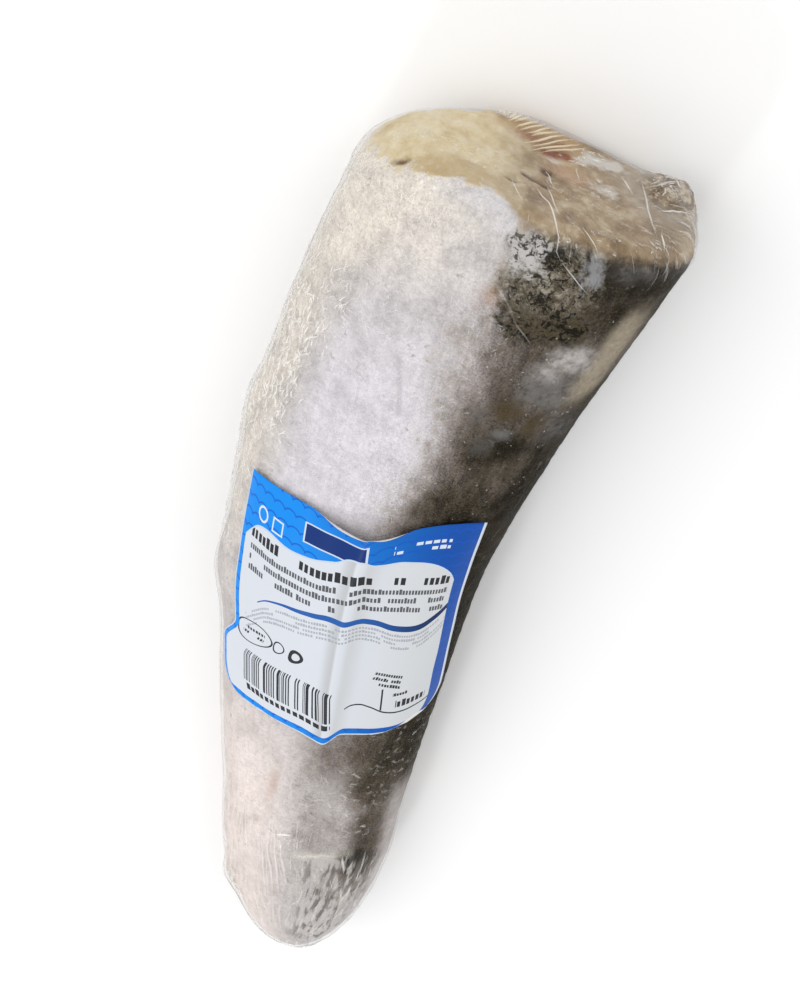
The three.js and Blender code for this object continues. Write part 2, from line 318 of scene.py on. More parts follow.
# Camera and light
CAMERA_TARGET = (0, 0, 24)
CAMERA_DISTANCE = 542
CAMERA_ELEVATION = 58
CAMERA_ROLL = -16.5
CAMERA_LENS = 94.75
CAMERA_SENSOR = 36
PICTURE_DROP = 0.0111  # the object sits this angle below the middle of the picture, in radians
LIGHT_LEVEL = 1.12  # brightness of a pure white on the upper flank
LIGHTS = [  # name, place and size in metres, power in watts
    ("key", (-1.0, 0.2, 1.8), 1.8, 13),
    ("fill", (0.6, 1.4, 1.3), 1.4, 7),
    ("glint", (-0.3, -1.0, 1.1), 0.15, 2.5),
]
ROOM_LIGHT = 0.75
FLOOR_SIZE = 3
FLOOR_WHITE = (0.95, 0.95, 0.95, 1)


def clamp(value):
    """Values held between 0 and 1."""
    return np.clip(value, 0, 1)


def lerp(start, end, share):
    """Part of the way from start to end."""
    return start + (end - start) * share


def soft(low, high, value):
    """A smooth step from 0 at low to 1 at high."""
    share = clamp((value - low) / (high - low))
    return share * share * (3 - 2 * share)


def bell(distance):
    """1 at no distance, falling off smoothly round 1."""
    return np.exp(-0.5 * distance ** 2)


def along_body(values, share):
    """A smooth curve through values given at even steps from tail to head."""
    steps = np.array(values, float)
    last = len(steps) - 1
    place = clamp(share) * last
    index = np.minimum(np.floor(place).astype(int), last - 1)
    part = place - index
    slope = np.gradient(steps)
    rise = steps[index + 1] - steps[index]
    bend = slope[index] + slope[index + 1] - 2 * rise
    start = 3 * rise - 2 * slope[index] - slope[index + 1]
    return steps[index] + part * (slope[index] + part * (start + part * bend))


def spine_lean(share):
    """Sideways step of the backbone for each step along it."""
    low = np.maximum(share - LEAN_STEP, 0)
    high = np.minimum(share + LEAN_STEP, 1)
    return (along_body(SPINE_SWAY, high) - along_body(SPINE_SWAY, low)) / ((high - low) * BODY_LENGTH)


def rim_radius(around):
    """Rounding of the film over the edge of the head cut."""
    return lerp(RIM_AT_BACK, RIM_AT_BELLY, ((1 - np.cos(around)) / 2) ** 2)


def signed_power(value, power):
    """A power that keeps the sign."""
    return np.sign(value) * np.abs(value) ** power


def skin_point(station, around, eared=True):
    """A place on the wrapped fish. Stations: -1 to 0 tail end, to 1 body, to 2 rim, to 3 cut face."""
    share = clamp(station)
    half_depth = along_body(HALF_DEPTHS, share)
    half_thick = half_depth * THICKNESS_SHARE
    rim = rim_radius(around)
    tail = clamp(-station)
    narrow = (1 - tail ** TAIL_POWER) ** (1 / TAIL_POWER)
    turn = clamp(station - 1) * math.pi / 2
    closing = narrow * (1 - clamp(station - 2))
    depth = (half_depth - rim * (1 - np.cos(turn))) * closing
    thick = (half_thick - np.minimum(rim, RIM_LIMIT * half_thick) * (1 - np.cos(turn))) * closing
    ahead = rim * np.sin(turn) - TAIL_REACH * tail
    spine_ahead = RIM_AT_BACK * np.sin(turn) - TAIL_REACH * tail
    side = signed_power(np.cos(around), 2 / SECTION_POWER)
    height = signed_power(np.sin(around), 2 / SECTION_POWER) * (1 + BACK_FULLNESS * side)
    lean = spine_lean(share)
    near_cut = clamp((share - CUT_START) / (1 - CUT_START)) ** CUT_EASE
    across = depth * side
    point = np.stack([
        along_body(SPINE_SWAY, share) + across + lean * spine_ahead,
        (share - 0.5) * BODY_LENGTH + ahead + near_cut * (RIM_AT_BACK - rim)
        + (near_cut * CUT_SLANT - lean) * across,
        np.maximum(0, half_thick - RESTING_FLAT + thick * height),
    ], axis=-1)
    bulged = point.copy()
    for middle, reach, spread in FILM_BULGES + [EAR_BULGE] * eared:
        push = bell(np.linalg.norm(point - np.array(middle), axis=-1) / spread)
        bulged += push[..., None] * np.array(reach)
    return bulged


def skin_runs(station, around, eared=True):
    """A short step over the skin along the fish, and one round it."""
    step = NORMAL_STEP
    forward = skin_point(station + step, around, eared) - skin_point(station - step, around, eared)
    turning = skin_point(station, around + step, eared) - skin_point(station, around - step, eared)
    return forward, turning


def skin_normal(station, around, eared=True):
    """Outward direction of the skin."""
    inner = np.clip(station, -1 + 2 * NORMAL_STEP, 3 - 2 * NORMAL_STEP)
    normal = np.cross(*skin_runs(inner, around, eared))
    return normal / np.maximum(np.linalg.norm(normal, axis=-1, keepdims=True), 1e-9)


def ripples(places, octaves=2):
    """Smooth noise between about -1 and 1 at each place."""
    return np.array([noise.fractal(Vector(place), 1.0, 2.0, octaves) for place in places])


def ridges(places, octaves=2):
    """Noise with sharp crests, from 0 in the hollows to 1 on the crests."""
    return clamp(1 - 2.2 * np.abs(ripples(places, octaves)))


def near(points, middle, radii):
    """1 at a spot, falling off smoothly over its radii."""
    return bell(np.linalg.norm((points - np.array(middle)) / np.array(radii), axis=-1))


def along_line(points, start, end, radius):
    """1 on a straight line between two spots, falling off smoothly over the radius."""
    first = np.array(start, float)
    span = np.array(end, float) - first
    share = clamp((points - first) @ span / (span @ span))
    away = np.linalg.norm(points - first - share[:, None] * span, axis=-1)
    return bell(away / radius)


def oval(x, y, middle, radii, edge):
    """1 inside a rounded patch seen from above, in millimetres, and 0 well outside it."""
    far = (np.abs((x - middle[0]) / radii[0]) ** 3 + np.abs((y - middle[1]) / radii[1]) ** 3) ** (1 / 3)
    return 1 - soft(1 - edge, 1 + edge, far)


def strongest(family, mark, *places):
    """The strongest of a family of marks at each place."""
    return np.max([strength * mark(*places, *shape) for *shape, strength in family], axis=0)


def upward_share(degrees):
    """1 on the upper half of the fish and 0 below it."""
    return soft(-8, 4, degrees) * soft(188, 176, degrees)


def to_frame(points):
    """Millimetres in the body's own coordinates to metres in the row frame."""
    shifted = points - np.array([BODY_MIDDLE[0], BODY_MIDDLE[1], 0])
    return shifted * MM


def skin_grid():
    """A closed sphere of rings with the station and the angle of each of its points."""
    shell = bmesh.new()
    bmesh.ops.create_uvsphere(shell, u_segments=SKIN_COLUMNS, v_segments=SKIN_ROWS, radius=1)
    balls = np.array([vert.co[:] for vert in shell.verts])
    row_share = np.arccos(np.clip(balls[:, 2], -1, 1)) / math.pi
    column_share = np.arctan2(balls[:, 1], balls[:, 0]) / (2 * math.pi) % 1
    station = np.interp(row_share, ROW_SHARES, ROW_STATIONS)
    degrees = np.interp(column_share, COLUMN_SHARES, COLUMN_DEGREES)
    return shell, station, degrees


def finish_piece(name, shell, points, values, material):
    """A piece from a shell, with its points put in place and its values kept on them."""
    for vert, point in zip(shell.verts, to_frame(points)):
        vert.co = point
    bmesh.ops.recalc_face_normals(shell, faces=shell.faces)
    mesh = bpy.data.meshes.new(name)
    shell.to_mesh(mesh)
    shell.free()
    for key, numbers in values.items():
        layer = mesh.attributes.new(key, "FLOAT", "POINT")
        layer.data.foreach_set("value", np.asarray(numbers, np.float32))
    mesh.shade_smooth()
    mesh.materials.append(material)
    piece = bpy.data.objects.new(name, mesh)
    bpy.context.collection.objects.link(piece)
    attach(piece, "root")
    return piece


def shade(colour):
    """The paint that shows as this screen colour under the studio light."""
    paint = []
    for part in colour:
        part = part / 255
        light = part / 12.92 if part <= 0.04045 else ((part + 0.055) / 1.055) ** 2.4
        paint.append(light / LIGHT_LEVEL)
    return (*paint, 1.0)


class Field:
    """A value in a material that takes ordinary arithmetic."""

    def __init__(self, tree, socket):
        self.tree = tree
        self.socket = socket

    def math(self, operation, other=None):
        node = self.tree.nodes.new("ShaderNodeMath")
        node.operation = operation
        plug(self.tree, self, node.inputs[0])
        if other is not None:
            plug(self.tree, other, node.inputs[1])
        return Field(self.tree, node.outputs[0])

    def __add__(self, other):
        return self.math("ADD", other)

    def __sub__(self, other):
        return self.math("SUBTRACT", other)

    def __mul__(self, other):
        return self.math("MULTIPLY", other)

    def __truediv__(self, other):
        return self.math("DIVIDE", other)

    def over(self, other):
        return self.math("GREATER_THAN", other)

    def under(self, other):
        return self.math("LESS_THAN", other)

    def swing(self, amount):
        """Noise moved to lie round zero, as far apart as the amount."""
        return (self - 0.5) * amount

    def soft(self, low, high):
        node = self.tree.nodes.new("ShaderNodeMapRange")
        node.interpolation_type = "SMOOTHSTEP"
        plug(self.tree, self, node.inputs["Value"])
        node.inputs["From Min"].default_value = low
        node.inputs["From Max"].default_value = high
        return Field(self.tree, node.outputs["Result"])

    def curve(self, points):
        node = self.tree.nodes.new("ShaderNodeFloatCurve")
        plug(self.tree, self, node.inputs["Value"])
        line = node.mapping.curves[0]
        node.mapping.use_clip = False
        for spot in points[2:]:
            line.points.new(*spot)
        for point, spot in zip(line.points, sorted(points)):
            point.location = spot
            point.handle_type = "AUTO"
        node.mapping.update()
        return Field(self.tree, node.outputs["Value"])


def plug(tree, value, socket):
    """A field, a socket, the name of a colour or a plain value into a socket."""
    if isinstance(value, Field):
        tree.links.new(value.socket, socket)
    elif isinstance(value, bpy.types.NodeSocket):
        tree.links.new(value, socket)
    elif isinstance(value, str):
        socket.default_value = shade(COLOURS[value])
    else:
        socket.default_value = value


class Paint:
    """Helpers for building one material."""

    def __init__(self, name):
        self.material = bpy.data.materials.new(name)
        self.material.use_nodes = True
        self.tree = self.material.node_tree
        self.tree.nodes.clear()
        self.output = self.tree.nodes.new("ShaderNodeOutputMaterial")
        self.place = self.tree.nodes.new("ShaderNodeTexCoord").outputs["Object"]

    def node(self, kind, **values):
        node = self.tree.nodes.new(kind)
        for key, value in values.items():
            plug(self.tree, value, node.inputs[key.replace("_", " ")])
        return node

    def field(self, name):
        node = self.tree.nodes.new("ShaderNodeAttribute")
        node.attribute_name = name
        return Field(self.tree, node.outputs["Fac"])

    def grain(self, scale, detail=2.0, stretch=(1, 1, 1), roughness=0.5, distortion=0.0):
        place = self.node("ShaderNodeMapping", Vector=self.place, Scale=stretch)
        turned = self.node("ShaderNodeMapping", Vector=place.outputs["Vector"], Rotation=GRAIN_TURN)
        node = self.node("ShaderNodeTexNoise", Vector=turned.outputs["Vector"], Scale=scale)
        node.inputs["Detail"].default_value = detail
        node.inputs["Roughness"].default_value = roughness
        node.inputs["Distortion"].default_value = distortion
        return Field(self.tree, node.outputs["Fac"])

    def scaled(self, colour, factor):
        node = self.tree.nodes.new("ShaderNodeVectorMath")
        node.operation = "SCALE"
        plug(self.tree, shade(COLOURS[colour])[:3] if isinstance(colour, str) else colour, node.inputs[0])
        plug(self.tree, factor, node.inputs["Scale"])
        return node.outputs[0]

    def mix(self, low, high, share):
        node = self.tree.nodes.new("ShaderNodeMix")
        node.data_type = "RGBA"
        plug(self.tree, share, node.inputs[0])
        plug(self.tree, low, node.inputs[6])
        plug(self.tree, high, node.inputs[7])
        return node.outputs[2]

    def patch(self, under, name, swing, low, high, strength=1.0):
        """A colour where the value of the same name, made uneven by noise, goes from low to high."""
        return self.mix(under, name, (self.field(name) + swing).soft(low, high) * strength)

    def ramp(self, value, stops):
        node = self.tree.nodes.new("ShaderNodeValToRGB")
        plug(self.tree, value, node.inputs[0])
        band = node.color_ramp
        for at, colour in stops[2:]:
            band.elements.new(at)
        for element, (at, colour) in zip(band.elements, stops):
            element.position = at
            element.color = shade(colour)
        return node.outputs[0]

    def bump(self, height, strength, distance):
        node = self.node("ShaderNodeBump", Height=height, Strength=strength, Distance=distance)
        return node.outputs["Normal"]

    def blend(self, first, second, share):
        node = self.node("ShaderNodeMixShader", Fac=share)
        self.tree.links.new(first.outputs[0], node.inputs[1])
        self.tree.links.new(second.outputs[0], node.inputs[2])
        return node

    def finish(self, shader):
        self.tree.links.new(shader.outputs[0], self.output.inputs["Surface"])
        return self.material


def fish_grains(paint):
    """Noise over the fish, from frost crystals to broad clouds."""
    strokes = paint.grain(760, detail=2, stretch=(1, 0.16, 0.8), roughness=0.6)
    grain = SimpleNamespace(
        fine=paint.grain(2600, detail=2, roughness=0.6),
        speckle=paint.grain(1100, detail=3, roughness=0.7),
        flake=paint.grain(520, detail=3, roughness=0.65),
        blotch=paint.grain(170, detail=4, roughness=0.6),
        broad=paint.grain(55, detail=3),
        streak=paint.grain(900, detail=3, stretch=(1, 0.2, 1), roughness=0.65),
        strokes=strokes.swing(6),
    )
    grain.crystals = grain.fine * 0.5 + grain.speckle * 0.3 + grain.streak * 0.2
    grain.clouds = grain.flake * 0.3 + grain.blotch * 0.4 + grain.broad * 0.3
    return grain


def frosted_skin(paint, grain):
    """Pale frost on the flanks, warm near the belly and the cut, pink near the tail, over a dark back."""
    blotch = grain.blotch
    flake = grain.flake
    tint = paint.patch("flank", "lilac", blotch.swing(0.9), 0.0, 1.1)
    tint = paint.patch(tint, "warm", blotch.swing(0.9), 0.0, 1.2)
    tint = paint.mix(tint, "pink", paint.field("pink"))
    tint = paint.patch(tint, "snow", flake.swing(1) + blotch.swing(1), 0.0, 1.2, 0.8)
    dark = paint.field("dark")
    ragged = blotch.swing(0.7) + flake.swing(0.6) + grain.speckle.swing(0.6) + grain.broad.swing(0.4)
    depth = dark + ragged * dark.soft(-0.06, 0.3)
    back = paint.ramp(depth, BACK_RAMP)
    mottled = grain.fine.swing(0.8) + grain.speckle.swing(1) + flake.swing(0.7) + grain.streak.swing(0.5)
    lit = mottled * (dark * 3.2 + paint.field("warm") * 0.3 + 0.5) + blotch.swing(0.5) + 1.0
    lit = lit + grain.strokes * 0.025 + grain.broad.swing(0.1)
    lit = lit.math("MAXIMUM", 0.4).math("MINIMUM", 1.8)
    return paint.scaled(paint.mix(tint, back, depth.soft(0.0, 0.28)), lit)


def patched_skin(paint, grain, skin):
    """Strokes at the tail end, pale ones painted glints and dark ones painted shade of the film's wrinkles;
    olive, grey, beige and white patches on the back, the beige partly a painted reflection of the film; and
    a grey crease line of painted shade.
    """
    flake = grain.flake
    skin = paint.patch(skin, "shelf", flake.swing(1.2), 0.1, 0.8, 0.75)
    strokes = paint.field("tail_glints_and_shade")
    # pale strokes paint glints and dark strokes paint shade, along the film's wrinkles at the tail end
    skin = paint.mix(skin, "glint stroke", strokes * grain.strokes.soft(0.15, 0.75) * 0.75)
    skin = paint.mix(skin, "shade stroke", strokes * grain.strokes.soft(-0.1, -0.7) * 0.85)
    skin = paint.patch(skin, "olive", flake.swing(1.2), 0.3, 1.0, 0.7)
    rough_light = grain.speckle.swing(0.9) + 1.0
    haze = paint.field("haze") * (grain.clouds.swing(3.0) + flake.swing(1.5) + 1.0)
    skin = paint.mix(skin, paint.scaled("haze", rough_light), haze.soft(0.05, 1.0) * 0.75)
    # beige: partly a painted reflection of the film along the back's edge, partly a beige rim beside the
    # spots
    beige = paint.field("beige") * (grain.clouds.swing(2.4) + 1.0)
    skin = paint.mix(skin, paint.scaled("beige", rough_light), beige.soft(0.0, 1.1) * 0.85)
    frost = paint.field("frost") * (grain.clouds.swing(2.6) + flake.swing(0.8) + 1.0)
    skin = paint.mix(skin, paint.scaled("frost", rough_light), frost.soft(0.05, 1.1) * 0.85)
    flecks = (flake * 0.75 + grain.speckle * 0.25).soft(0.55, 0.68)
    skin = paint.mix(skin, "fleck", flecks * paint.field("flecks") * 0.6)
    # a grey line of painted shade along a crease of the flank
    return paint.mix(skin, "crease", paint.field("crease") * 0.6)


def spotted_skin(paint, grain):
    """The patch of dark spots on a pale ground beside the cut: its colour, and where it is."""
    flake = grain.flake
    shape = paint.grain(760, detail=4, roughness=0.65, distortion=0.8)
    spots = shape * 0.7 + grain.speckle * 0.3 + grain.blotch.swing(0.25) + paint.field("ink")
    pale = (grain.speckle * 0.5 + flake * 0.5).soft(0.42, 0.66)
    ground = paint.scaled(paint.mix("dark ground", "pale ground", pale), grain.fine.swing(1.6) + 1.0)
    ground = paint.patch(ground, "rime", flake.swing(2.0), 0.2, 0.9)
    ground = paint.patch(ground, "dim", flake.swing(2.2), 0.2, 1.1, 0.85)
    tone = paint.mix(ground, "spot", spots.soft(0.5, 0.58) * 0.92)
    tone = paint.patch(tone, "icy", grain.streak.swing(2.2) + flake.swing(1.2), 0.3, 1.1, 0.85)
    where = paint.field("spots") + flake.swing(1.2) + grain.blotch.swing(1.4)
    return tone, where.soft(0.2, 0.75)


def cut_flesh(paint, grain):
    """Tan and cream flesh at the head cut: its colour, and where it is bare."""
    flake = grain.flake
    blotch = grain.blotch
    coarse = paint.grain(260, detail=4, stretch=(1, 0.5, 0.6), roughness=0.65)
    lumps = coarse * 0.5 + flake * 0.15 + blotch * 0.35
    cream = paint.patch(paint.ramp(lumps, CREAM_RAMP), "ochre", blotch.swing(2.0), 0.0, 1.4, 0.8)
    cream_side = paint.field("cream")
    flesh = paint.mix(paint.ramp(lumps, TAN_RAMP), cream, cream_side)
    flesh = paint.patch(flesh, "rosy", flake.swing(0.8), 0.2, 1.0, 0.7)
    flesh = paint.patch(flesh, "ice", flake.swing(1.6), 0.1, 0.8, 0.95)
    flesh = paint.mix(flesh, "gold", paint.field("gold"))
    flesh = paint.patch(flesh, "russet", flake.swing(0.8), 0.1, 0.9)
    flesh = paint.patch(flesh, "dusk", blotch.swing(1.5), 0.1, 1.1, 0.7)
    uneven = (blotch.swing(6) + flake.swing(9)) * (cream_side * 0.85 + 0.15)
    bare = paint.field("flesh") * (cream_side * 0.6 + 0.4) + uneven
    return flesh, bare.soft(-0.8, 0.8)


def fish_material():
    """Frosted skin, dark along the back, with bare flesh at the head cut."""
    paint = Paint("frosted_fish")
    grain = fish_grains(paint)
    skin = patched_skin(paint, grain, frosted_skin(paint, grain))
    tone = paint.mix(skin, *spotted_skin(paint, grain))
    tone = paint.mix(tone, *cut_flesh(paint, grain))
    tone = paint.patch(tone, "stain", grain.speckle.swing(0.5), 0.3, 0.9)
    tone = paint.mix(tone, "rust", paint.field("rust") * 0.45)
    rough = paint.bump(grain.crystals, 0.5, 0.0006)
    gloss = (paint.field("dark") * -0.22 + 0.25).math("MAXIMUM", 0.04)
    shader = paint.node("ShaderNodeBsdfPrincipled", Base_Color=tone, Normal=rough, Roughness=0.65)
    plug(paint.tree, gloss, shader.inputs["Specular IOR Level"])
    return paint.finish(shader)


def film_material():
    """Clear thin film: gloss at a slant, milky where it is gathered and brownish in the crumpled ear."""
    paint = Paint("clear_film")
    facets = paint.grain(330, detail=3, stretch=(1, 0.4, 1), roughness=0.6)
    crumple = paint.grain(420, detail=3, roughness=0.7)
    relief = paint.bump(facets, 0.5, 0.001)
    fresnel = Field(paint.tree, paint.node("ShaderNodeFresnel", IOR=FILM_INDEX).outputs[0])
    reflect = (fresnel * paint.field("gloss")).math("MINIMUM", FILM_MIRROR)
    clear = paint.node("ShaderNodeBsdfTransparent")
    shine = paint.node("ShaderNodeBsdfGlossy", Normal=relief, Roughness=0.16)
    milk = paint.mix("milky film", paint.ramp(crumple, BROWN_RAMP), paint.field("brown"))
    milky = paint.node("ShaderNodeBsdfDiffuse", Color=milk, Normal=relief)
    return paint.finish(paint.blend(paint.blend(clear, shine, reflect), milky, paint.field("veil")))


def fold_and_glint_material():
    """A doubled fold of the film: pale, shiny and half see-through, yellowish in the pleats; its near-white
    also paints the film's glints, as painted highlights.
    """
    paint = Paint("film_fold_and_glint")
    tone = paint.mix("fold and glint white", "yellow fold", paint.field("yellow"))
    shader = paint.node("ShaderNodeBsdfPrincipled", Base_Color=tone, Roughness=0.2)
    plug(paint.tree, paint.field("thickness"), shader.inputs["Alpha"])
    return paint.finish(shader)


def mirrored(degrees):
    """The angle down from the back on either flank."""
    return np.where(degrees > 180, 360 - degrees, np.abs(degrees))


def back_darkness(station, degrees, points):
    """How dark the skin is, from 0 on the pale flank to 1 on the darkest back. Both flanks are alike."""
    x, y = points.T[:2]
    flank = mirrored(degrees)
    ragged = station + 0.03 * ripples(points * 0.15, 2)
    wavering = flank + 5 * ripples(points * 0.09, 3)
    tables = (BACK_FIRST, BACK_EDGE, BACK_SOFT, BACK_DEPTH)
    first, edge, softness, depth = [np.interp(station, BACK_STATIONS, table) for table in tables]
    dark = first * soft(*BACK_START, wavering)
    dark += (depth - first) * (1 - soft(-softness, softness, wavering - edge))
    dark += 0.2 * soft(44, 34, flank) * soft(0.5, 0.62, station) * soft(0.86, 0.8, station)
    dark += 0.32 * soft(0.9, 0.98, station) * soft(64, 54, flank)
    dark -= 0.55 * soft(0.14, -0.04, ragged) * soft(-0.5, -0.25, ragged) * soft(42, 20, wavering)
    for *shape, strength in DARK_PATCHES:
        dark += strength * oval(x, y, *shape)
    return clamp(dark)


def skin_tones(station, degrees, points):
    """Where each colour of the skin is, as shares. Ink says how much denser the spots are."""
    x, y = points.T[:2]
    above = upward_share(degrees)
    flank = mirrored(degrees)
    lean, lean_start = SPOTS_LEAN
    leaning = x - lean * (lean_start - y)
    strip_x, strip_y, slant, half_width = REFLECTION_STRIP
    off_strip = np.abs(x - strip_x - slant * (y - strip_y)) / half_width
    # a pale strip of painted reflection of the film along the back's edge
    reflection_strip = soft(1.5, 0.1, off_strip) * soft(40, 52, y) * soft(75, 64, y)
    beside_spots = 0.7 * oval(x, y, (4.4, 72.5), (1.5, 5.5), 0.8)
    tail_end = soft(-0.1, -0.24, station) * soft(-0.92, -0.8, station)
    warm_belly = 0.8 * soft(118, 158, flank) * soft(0.2, 0.6, station)
    warm_head = soft(0.8, 1.05, station) * soft(10, -18, x)
    return {
        "dark": back_darkness(station, degrees, points),
        "spots": oval(leaning, y, (13.5, 72), (9.3, 12), 0.45) * above,
        "ink": 0.06 * near(points, (14.5, 81, 45), (3.6, 3, 5)) + 0.02 * soft(74, 64, y) - 0.005,
        "rime": oval(x, y, (7.5, 79), (4, 5), 0.9),
        "icy": oval(x, y, (21.5, 78.5), (3, 5), 0.9),
        "dim": clamp(soft(73, 63, y) + 0.6 * soft(17, 22, leaning)),
        "shelf": oval(x, y, (3.9, -88.4), (5.2, 1.7), 0.4) * above,
        # tail strokes: painted glints and painted shade of the film's wrinkles
        "tail_glints_and_shade": tail_end * soft(28, 40, degrees) * soft(92, 78, degrees),
        "beige": clamp(reflection_strip + beside_spots) * above,
        "frost": strongest(FROST_PATCHES, oval, x, y) * above,
        "haze": strongest(HAZE_PATCHES, oval, x, y) * above,
        "olive": strongest(OLIVE_PATCHES, oval, x, y) * above,
        "flecks": soft(0.02, 0.08, station) * soft(0.26, 0.2, station) * soft(64, 52, degrees) * above,
        "lilac": soft(1.05, 0.65, station) * soft(0.2, 0.5, station) * soft(160, 110, flank),
        "warm": clamp(warm_belly + warm_head),
        "pink": 0.9 * soft(0.35, 0.0, station) * soft(80, 130, flank),
        # painted shade along the crease of the flank
        "crease": along_line(points, (-9.6, 48.2, 42.2), (-6.6, 36.1, 41.7), 0.35),
        "rust": strongest(RUST_SPOTS, near, points),
    }


def flesh_tones(station, degrees, points):
    """Where each colour at the head cut is, as shares. Flesh is in millimetres past the skin's edge."""
    x, y, z = points.T
    edge = np.interp(degrees, CUT_EDGE_AROUND, CUT_EDGE_STATION)
    flesh = (station - edge) * rim_radius(np.radians(degrees)) * math.pi / 2
    along_edge = soft(-0.5, 0.5, flesh) * soft(7, 2, flesh) * soft(-22, -14, x) * soft(4, -4, x)
    stain = np.maximum(strongest(STAIN_SPOTS, near, points), strongest(STAIN_LINES, along_line, points))
    ice = np.maximum(strongest(ICE_LINES, along_line, points), strongest(ICE_SPOTS, near, points))
    return {
        "flesh": np.clip(flesh, -6, 6),
        "snow": soft(-10, -1, flesh) * soft(-20, -2, x) * soft(13, 6, x),
        "cream": soft(8, -6, x),
        "ochre": clamp(along_edge + near(points, (-6.8, 87, 34.5), (6, 4, 3))),
        "gold": 0.8 * soft(-7, -3, x) * soft(15, 11, x) * soft(15, 9, z - 0.5 * x) * soft(83, 85, y),
        "rosy": near(points, (11.8, 84.8, 19), (4, 4, 3)),
        "dusk": near(points, (32, 82.5, 30), (3.4, 4, 8)),
        "ice": ice,
        "russet": strongest(RUSSET_LINES, along_line, points),
        "stain": stain,
    }


def fish_body():
    """The frozen fish, a little inside the film."""
    shell, station, degrees = skin_grid()
    around = np.radians(degrees)
    surface = skin_point(station, around, eared=False)
    outward = skin_normal(station, around, eared=False)
    tones = {**skin_tones(station, degrees, surface), **flesh_tones(station, degrees, surface)}
    bare = soft(0, 2, tones["flesh"])
    slack = FILM_SLACK + 0.1 * bare + 0.5 * tones["gold"] + 0.9 * tones["stain"]
    relief = 0.2 * ripples(surface * 0.35, 3)
    relief += 0.5 * bare * tones["cream"] * ripples(surface * 0.22, 3)
    crease = bell((degrees - 97) / 1.6) * soft(0.66, 0.7, station) * (1 - soft(0.78, 0.82, station))
    relief -= 0.35 * crease
    points = surface + outward * (relief - slack)[:, None]
    points[:, 2] = np.maximum(points[:, 2], FISH_FLOOR)
    piece = finish_piece("hake", shell, points, tones, fish_material())
    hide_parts("wrapped_hake")
    return piece


def film_surface(station, degrees):
    """Places on the film, and its gathered parts as shares."""
    around = np.radians(degrees)
    surface = skin_point(station, around)
    outward = skin_normal(station, around)
    x, y = surface.T[:2]
    girth = around * FILM_RADIUS
    upper = soft(-0.3, 0.3, np.sin(around))
    lengthwise = np.stack([girth / 2.6, y / 11, np.zeros_like(y)], axis=-1)
    lines = ridges(lengthwise)
    broad_lines = ridges(np.stack([girth / 6, y / 26, np.full_like(y, 7.0)], axis=-1))
    crumple = ridges(surface * 0.2, 2)
    belly = soft(122, 140, degrees) * soft(0.45, 0.6, station) * soft(1.5, 1.2, station)
    pocket = soft(140, 155, degrees) * soft(-0.2, 0.1, station) * soft(0.6, 0.5, station)
    head = soft(0.97, 1.4, station) * soft(-12, 2, x)
    tail = soft(-0.02, -0.25, station) * upper
    ear = clamp(1.5 * near(surface, EAR, EAR_REACH))
    ledge = bell((station + lerp(0.093, 0.168, clamp((degrees - 63) / 30))) / 0.02)
    ledge *= soft(52, 60, degrees) * soft(96, 90, degrees)
    lift = 0.05 * ridges(lengthwise * 1.9) * upper
    lift += 0.3 * belly * lines ** 2 + 0.2 * belly * broad_lines + 0.4 * pocket * broad_lines
    lift += 0.15 * head * crumple ** 2
    lift += (0.15 * broad_lines + 0.15 * lines ** 2) * tail
    lift += 0.45 * ear * crumple
    lift += 0.6 * ledge
    points = surface + outward * lift[:, None]
    points[:, 2] = np.maximum(points[:, 2], 0)
    veil = 0.1 * tail * lines ** 3 + 0.15 * belly * lines ** 3 + 0.15 * pocket * broad_lines ** 2
    veil += 0.55 * ear + 0.25 * ledge
    back = soft(80, 50, degrees) * soft(-60, -40, degrees)
    back *= soft(-0.1, 0.1, station) * soft(1.1, 0.95, station)
    gloss = 0.15 - 0.11 * back + 0.6 * (belly + head + tail + pocket) + 1.5 * ear
    values = {"veil": clamp(veil), "gloss": np.minimum(gloss, 2), "brown": ear}
    return points, values


def film_wrap():
    """The clear film, with its wrinkles and crumpled corners, and a tree of its faces to lay folds on."""
    shell, station, degrees = skin_grid()
    points, values = film_surface(station, degrees)
    for vert, point in zip(shell.verts, points):
        vert.co = point
    bmesh.ops.recalc_face_normals(shell, faces=shell.faces)
    tree = BVHTree.FromBMesh(shell)
    piece = finish_piece("film", shell, points, values, film_material())
    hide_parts("wrapped_hake")
    return tree


def ear_folds(rng):
    """Folds at random in the crumpled corner of film."""
    middle = np.array(EAR) + rng.normal(0, 2.6, (EAR_FOLDS, 3))
    run = rng.normal(0, 1, (EAR_FOLDS, 3))
    width = rng.uniform(0.2, 0.5, EAR_FOLDS)
    strong = rng.uniform(0.25, 0.8, EAR_FOLDS)
    return list(zip(middle - run, middle + run, width, strong))


def pleat_folds(rng):
    """The row of gathered pleats at the lower edge of the head cut."""
    folds = []
    for share in np.linspace(0, 1, PLEATS):
        place = clamp(share ** 1.2 + rng.normal(0, 0.012))
        outer = lerp(np.array(PLEAT_OUTER[0]), np.array(PLEAT_OUTER[1]), place)
        inner = lerp(np.array(PLEAT_INNER[0]), np.array(PLEAT_INNER[1]), place)
        inner = lerp(outer, inner, rng.uniform(0.8, 1.08))
        folds.append((outer, inner, rng.uniform(0.55, 0.9), rng.uniform(0.8, 1)))
    return folds


